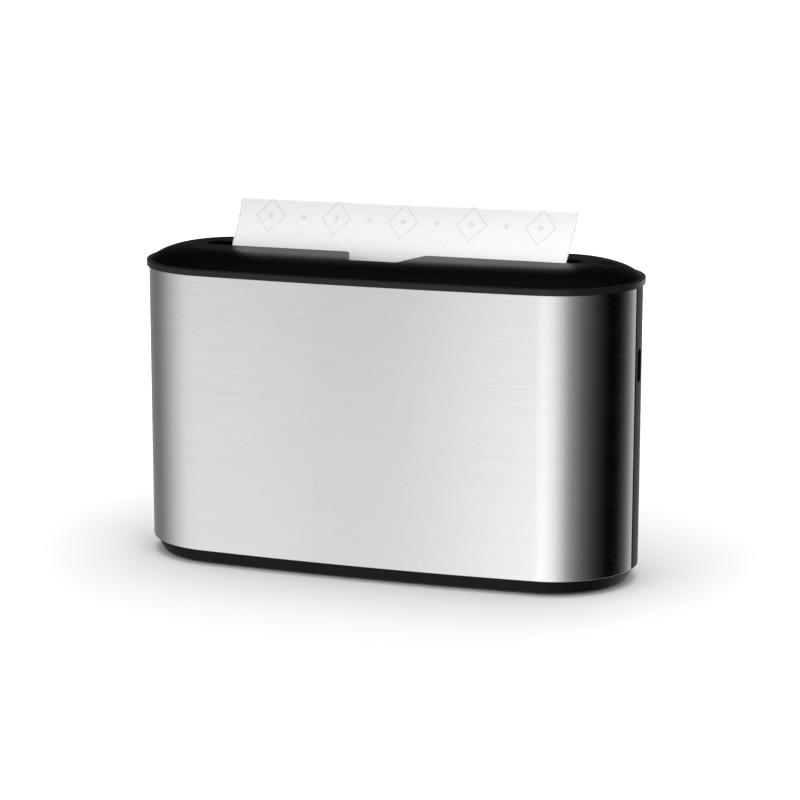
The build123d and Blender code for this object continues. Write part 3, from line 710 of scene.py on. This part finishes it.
@dataclass
class TowelStack:
    """Folded towels on the platform: plies with a rounded fold along each long side."""

    finish: bpy.types.Material
    plies: int = 44
    squeeze: float = 0.94
    wander: float = 0.9 * MM
    fold_segments: int = 5
    seed: int = 7

    def build(self) -> bpy.types.Object:
        """Build the stack.

        Returns:
            The piece.
        """
        low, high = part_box("towel_stack")
        pitch = (high.z - low.z) / self.plies
        ply = self._ply(high.x - low.x, high.y - low.y - 2 * self.wander, pitch)
        centre = (low + high) / 2
        tree = PieceTree(
            "stacked_plies",
            {"Plies": self.plies, "Pitch": pitch, "Wander": self.wander, "Seed": self.seed},
        )
        start = tree.node("ShaderNodeCombineXYZ", {"X": centre.x, "Y": centre.y, "Z": low.z})
        rise = tree.node("ShaderNodeCombineXYZ", {"Z": tree.take("Pitch")})
        column = tree.node(
            "GeometryNodeMeshLine",
            {
                "Count": tree.take("Plies"),
                "Start Location": start.outputs["Vector"],
                "Offset": rise.outputs["Vector"],
            },
        )
        span = tree.node("ShaderNodeCombineXYZ", {"Y": tree.take("Wander")})
        back = tree.node("ShaderNodeVectorMath", {0: span.outputs["Vector"], 3: -1.0}, operation="SCALE")
        jitter = tree.node(
            "FunctionNodeRandomValue",
            {0: back.outputs["Vector"], 1: span.outputs["Vector"], "Seed": tree.take("Seed")},
            data_type="FLOAT_VECTOR",
        )
        moved = tree.node(
            "GeometryNodeSetPosition",
            {"Geometry": column.outputs["Mesh"], "Offset": jitter.outputs["Value"]},
        )
        placed = tree.node(
            "GeometryNodeInstanceOnPoints",
            {"Points": moved.outputs["Geometry"], "Instance": tree.take("Geometry")},
        )
        tree.close(placed.outputs["Instances"], self.finish)
        tree.apply(ply)
        ply.data.shade_smooth()
        settle(ply, "lift_platform", ("towel_stack",))
        return ply

    def _ply(self, width: float, depth: float, pitch: float) -> bpy.types.Object:
        """Build one ply with its low face at Z = 0.

        Args:
            width: Length along X.
            depth: Length along Y.
            pitch: Height that it takes in the stack.

        Returns:
            The ply.
        """
        radius = pitch * self.squeeze / 2
        ring = []
        for side, turn in ((1, -90), (-1, 90)):
            for step in range(self.fold_segments + 1):
                angle = math.radians(turn + 180 * step / self.fold_segments)
                y = side * (depth / 2 - radius) + radius * math.cos(angle)
                ring.append((y, radius + radius * math.sin(angle)))
        count = len(ring)
        points = [(x * width / 2, y, z) for x in (-1, 1) for y, z in ring]
        faces = [(i, (i + 1) % count, count + (i + 1) % count, count + i) for i in range(count)]
        faces = [tuple(reversed(f)) for f in faces]
        faces.append(tuple(range(count)))
        faces.append(tuple(reversed(range(count, 2 * count))))
        return new_object("towel_plies", points, faces)


@dataclass
class TopTowel:
    """The towel that stands in the slot, leaning further back at its right edge."""

    finish: bpy.types.Material
    columns: int = 150
    rows: int = 44
    thickness: float = 0.45 * MM
    ripple: float = 1.1 * MM
    pucker: float = 0.12 * MM
    hem_swing: float = 0.25 * MM
    held_share: float = 0.3
    late_turn: float = 0.3
    slow_waves: float = 22.0
    fine_waves: float = 320.0
    hem_waves: float = 60.0
    left_edge: tuple[tuple[float, float], ...] = ((0.4, 186.7), (-2.6, 200.2), (12.0, 206.0), (18.0, 226.3))
    right_edge: tuple[tuple[float, float], ...] = ((0.4, 186.7), (-0.4, 201.6), (22.5, 203.4), (32.8, 225.2))

    def build(self) -> bpy.types.Object:
        """Build the sheet.

        Returns:
            The piece.
        """
        low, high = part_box("top_towel")
        width = high.x - low.x
        edges = [
            [Vector((0.0, y * MM, z * MM)) for y, z in edge] for edge in (self.left_edge, self.right_edge)
        ]
        points, flat = [], []
        for row in range(self.rows + 1):
            t = row / self.rows
            for column in range(self.columns + 1):
                s = column / self.columns
                near, far = (bezier(*edge, t) for edge in edges)
                spot = near.lerp(far, s * s * (1.0 + self.late_turn * (1.0 - s)))
                spot.x = low.x + s * width
                spot += self._wave(spot, t)
                points.append(tuple(spot))
        length = 0.0
        lengths = [0.0]
        middle = self.columns // 2
        stride = self.columns + 1
        for row in range(1, self.rows + 1):
            here = Vector(points[row * stride + middle])
            length += (here - Vector(points[(row - 1) * stride + middle])).length
            lengths.append(length)
        for row in range(self.rows + 1):
            flat += [(width * column / self.columns, lengths[row]) for column in range(stride)]
        faces = [
            (i, i + 1, i + 1 + stride, i + stride)
            for row in range(self.rows)
            for i in range(row * stride, row * stride + self.columns)
        ]
        piece = new_object("standing_towel", points, faces)
        layer = piece.data.uv_layers.new(name="sheet")
        for loop in piece.data.loops:
            layer.data[loop.index].uv = flat[loop.vertex_index]
        piece.data.materials.append(self.finish)
        shell = piece.modifiers.new("ply", "SOLIDIFY")
        shell.thickness = self.thickness
        shell.offset = -1.0
        bake(piece)
        piece.data.shade_smooth()
        settle(piece, "towel", ("top_towel",))
        return piece

    def _wave(self, spot: Vector, t: float) -> Vector:
        """Return the small move that makes the paper look handled.

        Args:
            spot: Point on the plain sheet.
            t: Share of the height.

        Returns:
            The offset in metres.
        """
        free = max(0.0, t - self.held_share) / (1.0 - self.held_share)
        slow = noise.noise(Vector((spot.x * self.slow_waves, t * 1.3, 1.7))) * self.ripple * free
        fine = noise.noise(Vector((spot.x * self.fine_waves, spot.z * self.fine_waves, 5.1)))
        hem = noise.noise(Vector((spot.x * self.hem_waves, 9.0, 0.0))) * self.hem_swing * free * t
        return Vector((0.0, slow + fine * self.pucker, hem))


@dataclass
class Studio:
    """White floor, soft lamps, a surround that only shiny surfaces see, and the camera.

    The surround's glow is set by the listed stops. Stops in around give it by the turn from the front, and
    stops in low_band and high_band by the angle above level, all in degrees.
    """

    floor_half: float = 14.0
    floor_tone: float = 0.97
    fade_start: float = 0.14
    fade_end: float = 0.95
    camera_at: Point = (0.53637, -1.55212, 0.45615)
    target: Point = (0.0, 0.0, 0.1)
    lens: float = 119.697
    sensor: float = 36.0
    shift: tuple[float, float] = (0.010904, 0.008160)
    dome_radius: float = 3.0
    dome_steps: tuple[int, int] = (144, 72)
    clip_end: float = 100.0
    peak_glow: float = 2.0
    world_strength: float = 0.45
    around: tuple[tuple[float, float], ...] = (
        (-180.0, 0.9),
        (-160.0, 0.9),
        (-140.0, 0.35),
        (-120.0, 0.24),
        (-103.0, 0.25),
        (-88.0, 0.45),
        (-72.0, 0.8),
        (-50.0, 1.2),
        (-29.0, 1.28),
        (-25.0, 1.18),
        (-21.0, 1.12),
        (-15.0, 1.13),
        (-11.0, 1.45),
        (4.0, 1.82),
        (20.0, 1.4),
        (38.0, 0.46),
        (55.0, 0.17),
        (72.0, 0.05),
        (90.0, 0.002),
        (110.0, 0.0),
        (122.0, 0.06),
        (132.0, 0.24),
        (144.0, 0.75),
        (160.0, 0.9),
        (180.0, 0.9),
    )
    low_band: tuple[tuple[float, float], ...] = (
        (-90.0, 1.0),
        (0.0, 1.0),
        (6.0, 0.2),
        (17.0, 0.1),
        (22.0, 0.04),
        (28.0, 0.0),
        (90.0, 0.0),
    )
    high_band: tuple[tuple[float, float], ...] = (
        (-90.0, 0.0),
        (20.0, 0.0),
        (28.0, 0.008),
        (58.0, 0.012),
        (70.0, 0.16),
        (90.0, 0.3),
    )

    def build(self) -> None:
        """Build the studio."""
        self._camera()
        self._floor()
        self._lamps()
        self._surround()
        self._world()
        bpy.context.scene.view_settings.view_transform = "Standard"

    def _camera(self) -> None:
        """Place the camera at the photograph's viewpoint."""
        data = bpy.data.cameras.new("photo_camera")
        data.lens = self.lens
        data.sensor_width = self.sensor
        data.sensor_fit = "AUTO"
        data.shift_x, data.shift_y = self.shift
        data.clip_end = self.clip_end
        camera = bpy.data.objects.new("photo_camera", data)
        camera.location = self.camera_at
        heading = Vector(self.target) - Vector(self.camera_at)
        camera.rotation_euler = heading.to_track_quat("-Z", "Y").to_euler()
        bpy.context.scene.collection.objects.link(camera)
        bpy.context.scene.camera = camera

    def _floor(self) -> None:
        """Lay the white floor, which keeps the soft shadow."""
        half = self.floor_half
        corners = [(-half, -half, 0.0), (half, -half, 0.0), (half, half, 0.0), (-half, half, 0.0)]
        floor = new_object("floor", corners, [(0, 1, 2, 3)])
        graph = ShaderGraph("floor_white")
        graph.set(Roughness=1.0, Specular_IOR_Level=0.0)
        cloud = graph.grain((1.5, 1.5, 1.5), 2.0)
        colour = graph.tint(cloud, grey(self.floor_tone - 0.01), grey(self.floor_tone))
        graph.link(colour, graph.shader.inputs["Base Color"])
        graph.shader.inputs["Emission Color"].default_value = (1.0, 1.0, 1.0, 1.0)
        reach = graph.node("ShaderNodeVectorMath", operation="LENGTH")
        graph.link(graph.place, reach.inputs[0])
        far = graph.node("ShaderNodeMapRange", interpolation_type="SMOOTHSTEP")
        far.inputs["From Min"].default_value = self.fade_start
        far.inputs["From Max"].default_value = self.fade_end
        graph.link(reach.outputs["Value"], far.inputs["Value"])
        seen = graph.node("ShaderNodeLightPath").outputs["Is Camera Ray"]
        glow = graph.math("MULTIPLY", far.outputs["Result"], seen)
        graph.link(glow, graph.shader.inputs["Emission Strength"])
        floor.data.materials.append(graph.material)
        floor.visible_glossy = False

    def _lamps(self) -> None:
        """Hang the soft lamps."""
        lamps = (
            ("overhead", (0.1, -0.1, 1.9), 2.0, 23.0),
            ("front_left", (-1.5, -1.9, 1.2), 1.6, 10.5),
            ("front_right", (1.7, -1.5, 1.1), 1.4, 7.5),
            ("rear", (0.2, 2.2, 1.2), 1.6, 7.0),
        )
        for name, place, size, power in lamps:
            data = bpy.data.lights.new(name, "AREA")
            data.shape = "DISK"
            data.size = size
            data.energy = power
            lamp = bpy.data.objects.new(name, data)
            lamp.location = place
            aim = Vector(self.target) - Vector(place)
            lamp.rotation_euler = aim.to_track_quat("-Z", "Y").to_euler()
            lamp.visible_glossy = False
            bpy.context.scene.collection.objects.link(lamp)

    def _surround(self) -> None:
        """Build the surround of softboxes and dark flags that only shiny surfaces see."""
        wide, tall = self.dome_steps
        points = []
        for row in range(tall + 1):
            raised = math.radians(-90 + 180 * row / tall)
            for column in range(wide):
                turned = math.radians(360 * column / wide)
                points.append(
                    (
                        self.dome_radius * math.cos(raised) * math.cos(turned),
                        self.dome_radius * math.cos(raised) * math.sin(turned),
                        self.dome_radius * math.sin(raised),
                    )
                )
        faces = [
            (
                row * wide + column,
                (row + 1) * wide + column,
                (row + 1) * wide + (column + 1) % wide,
                row * wide + (column + 1) % wide,
            )
            for row in range(tall)
            for column in range(wide)
        ]
        surround = new_object("surround", points, faces)
        surround.data.materials.append(self._surround_finish())
        surround.visible_camera = False
        surround.visible_diffuse = False
        surround.visible_transmission = False
        surround.visible_shadow = False
        surround.visible_volume_scatter = False

    def _surround_finish(self) -> bpy.types.Material:
        """Return the glow of the surround by direction."""
        graph = ShaderGraph("surround_glow")
        tree = graph.tree
        split = graph.node("ShaderNodeSeparateXYZ")
        graph.link(graph.place, split.inputs["Vector"])
        across = graph.math("MULTIPLY", split.outputs["Y"], -1.0)
        turn = graph.math("ARCTAN2", split.outputs["X"], across)
        share = graph.math("ADD", graph.math("DIVIDE", turn, 2 * math.pi), 0.5)
        level = self._ramp(graph, share, [((a + 180) / 360, v) for a, v in self.around])
        height = graph.math("DIVIDE", split.outputs["Z"], self.dome_radius)
        raised = graph.math("DIVIDE", graph.math("ARCSINE", height), math.pi)
        rise = graph.math("ADD", raised, 0.5)
        low_part = self._ramp(graph, rise, [((e + 90) / 180, v) for e, v in self.low_band])
        high_part = self._ramp(graph, rise, [((e + 90) / 180, v) for e, v in self.high_band])
        total = graph.math("ADD", graph.math("MULTIPLY", level, low_part), high_part)
        glow = graph.node("ShaderNodeEmission")
        graph.link(total, glow.inputs["Strength"])
        output = next(n for n in tree.nodes if n.type == "OUTPUT_MATERIAL")
        graph.link(glow.outputs["Emission"], output.inputs["Surface"])
        tree.nodes.remove(graph.shader)
        return graph.material

    def _ramp(
        self, graph: ShaderGraph, value: bpy.types.NodeSocket, stops: list[tuple[float, float]]
    ) -> bpy.types.NodeSocket:
        """Return a value looked up along stops.

        Args:
            graph: Material to add to.
            value: Place along the ramp, from 0 to 1.
            stops: Place and value of each stop.

        Returns:
            The value socket.
        """
        curve = graph.node("ShaderNodeFloatCurve")
        line = curve.mapping.curves[0]
        line.points[0].location = (stops[0][0], stops[0][1] / self.peak_glow)
        line.points[1].location = (stops[-1][0], stops[-1][1] / self.peak_glow)
        for place, height in stops[1:-1]:
            line.points.new(place, height / self.peak_glow)
        for point in line.points:
            point.handle_type = "VECTOR"
        curve.mapping.update()
        graph.link(value, curve.inputs["Value"])
        return graph.math("MULTIPLY", curve.outputs["Value"], self.peak_glow)

    def _world(self) -> None:
        """Light the shadows softly, with white behind everything that the camera sees."""
        world = bpy.data.worlds.new("studio_world")
        world.use_nodes = True
        tree = world.node_tree
        soft = tree.nodes["Background"]
        soft.inputs["Color"].default_value = (1.0, 1.0, 1.0, 1.0)
        soft.inputs["Strength"].default_value = self.world_strength
        white = tree.nodes.new("ShaderNodeBackground")
        white.inputs["Strength"].default_value = 1.0
        white.inputs["Color"].default_value = (1.0, 1.0, 1.0, 1.0)
        rays = tree.nodes.new("ShaderNodeLightPath")
        either = tree.nodes.new("ShaderNodeMath")
        either.operation = "MAXIMUM"
        three = tree.nodes.new("ShaderNodeMath")
        three.operation = "MAXIMUM"
        mix = tree.nodes.new("ShaderNodeMixShader")
        tree.links.new(rays.outputs["Is Camera Ray"], either.inputs[0])
        tree.links.new(rays.outputs["Is Glossy Ray"], either.inputs[1])
        tree.links.new(either.outputs["Value"], three.inputs[0])
        tree.links.new(rays.outputs["Is Transmission Ray"], three.inputs[1])
        tree.links.new(three.outputs["Value"], mix.inputs["Fac"])
        tree.links.new(soft.outputs["Background"], mix.inputs[1])
        tree.links.new(white.outputs["Background"], mix.inputs[2])
        tree.links.new(mix.outputs["Shader"], tree.nodes["World Output"].inputs["Surface"])
        bpy.context.scene.world = world


def main() -> None:
    """Dress the frame, build the pieces and the studio."""
    logging.basicConfig(level=logging.INFO, format="%(name)s: %(message)s")
    finishes = FinishBook()
    finishes.dress_nodes()
    length = 2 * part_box("right_side_strip")[1].x
    outline = Outline(length=length, depth=2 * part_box("rear_panel")[1].y)
    for side in Side:
        SteelWrap(finishes.get("brushed_steel"), outline, side).build()
    TowelStack(finishes.get("paper")).build()
    TopTowel(finishes.get("towel_paper")).build()
    Studio().build()
    bpy.context.view_layer.update()


if __name__ == "__main__":
    main()
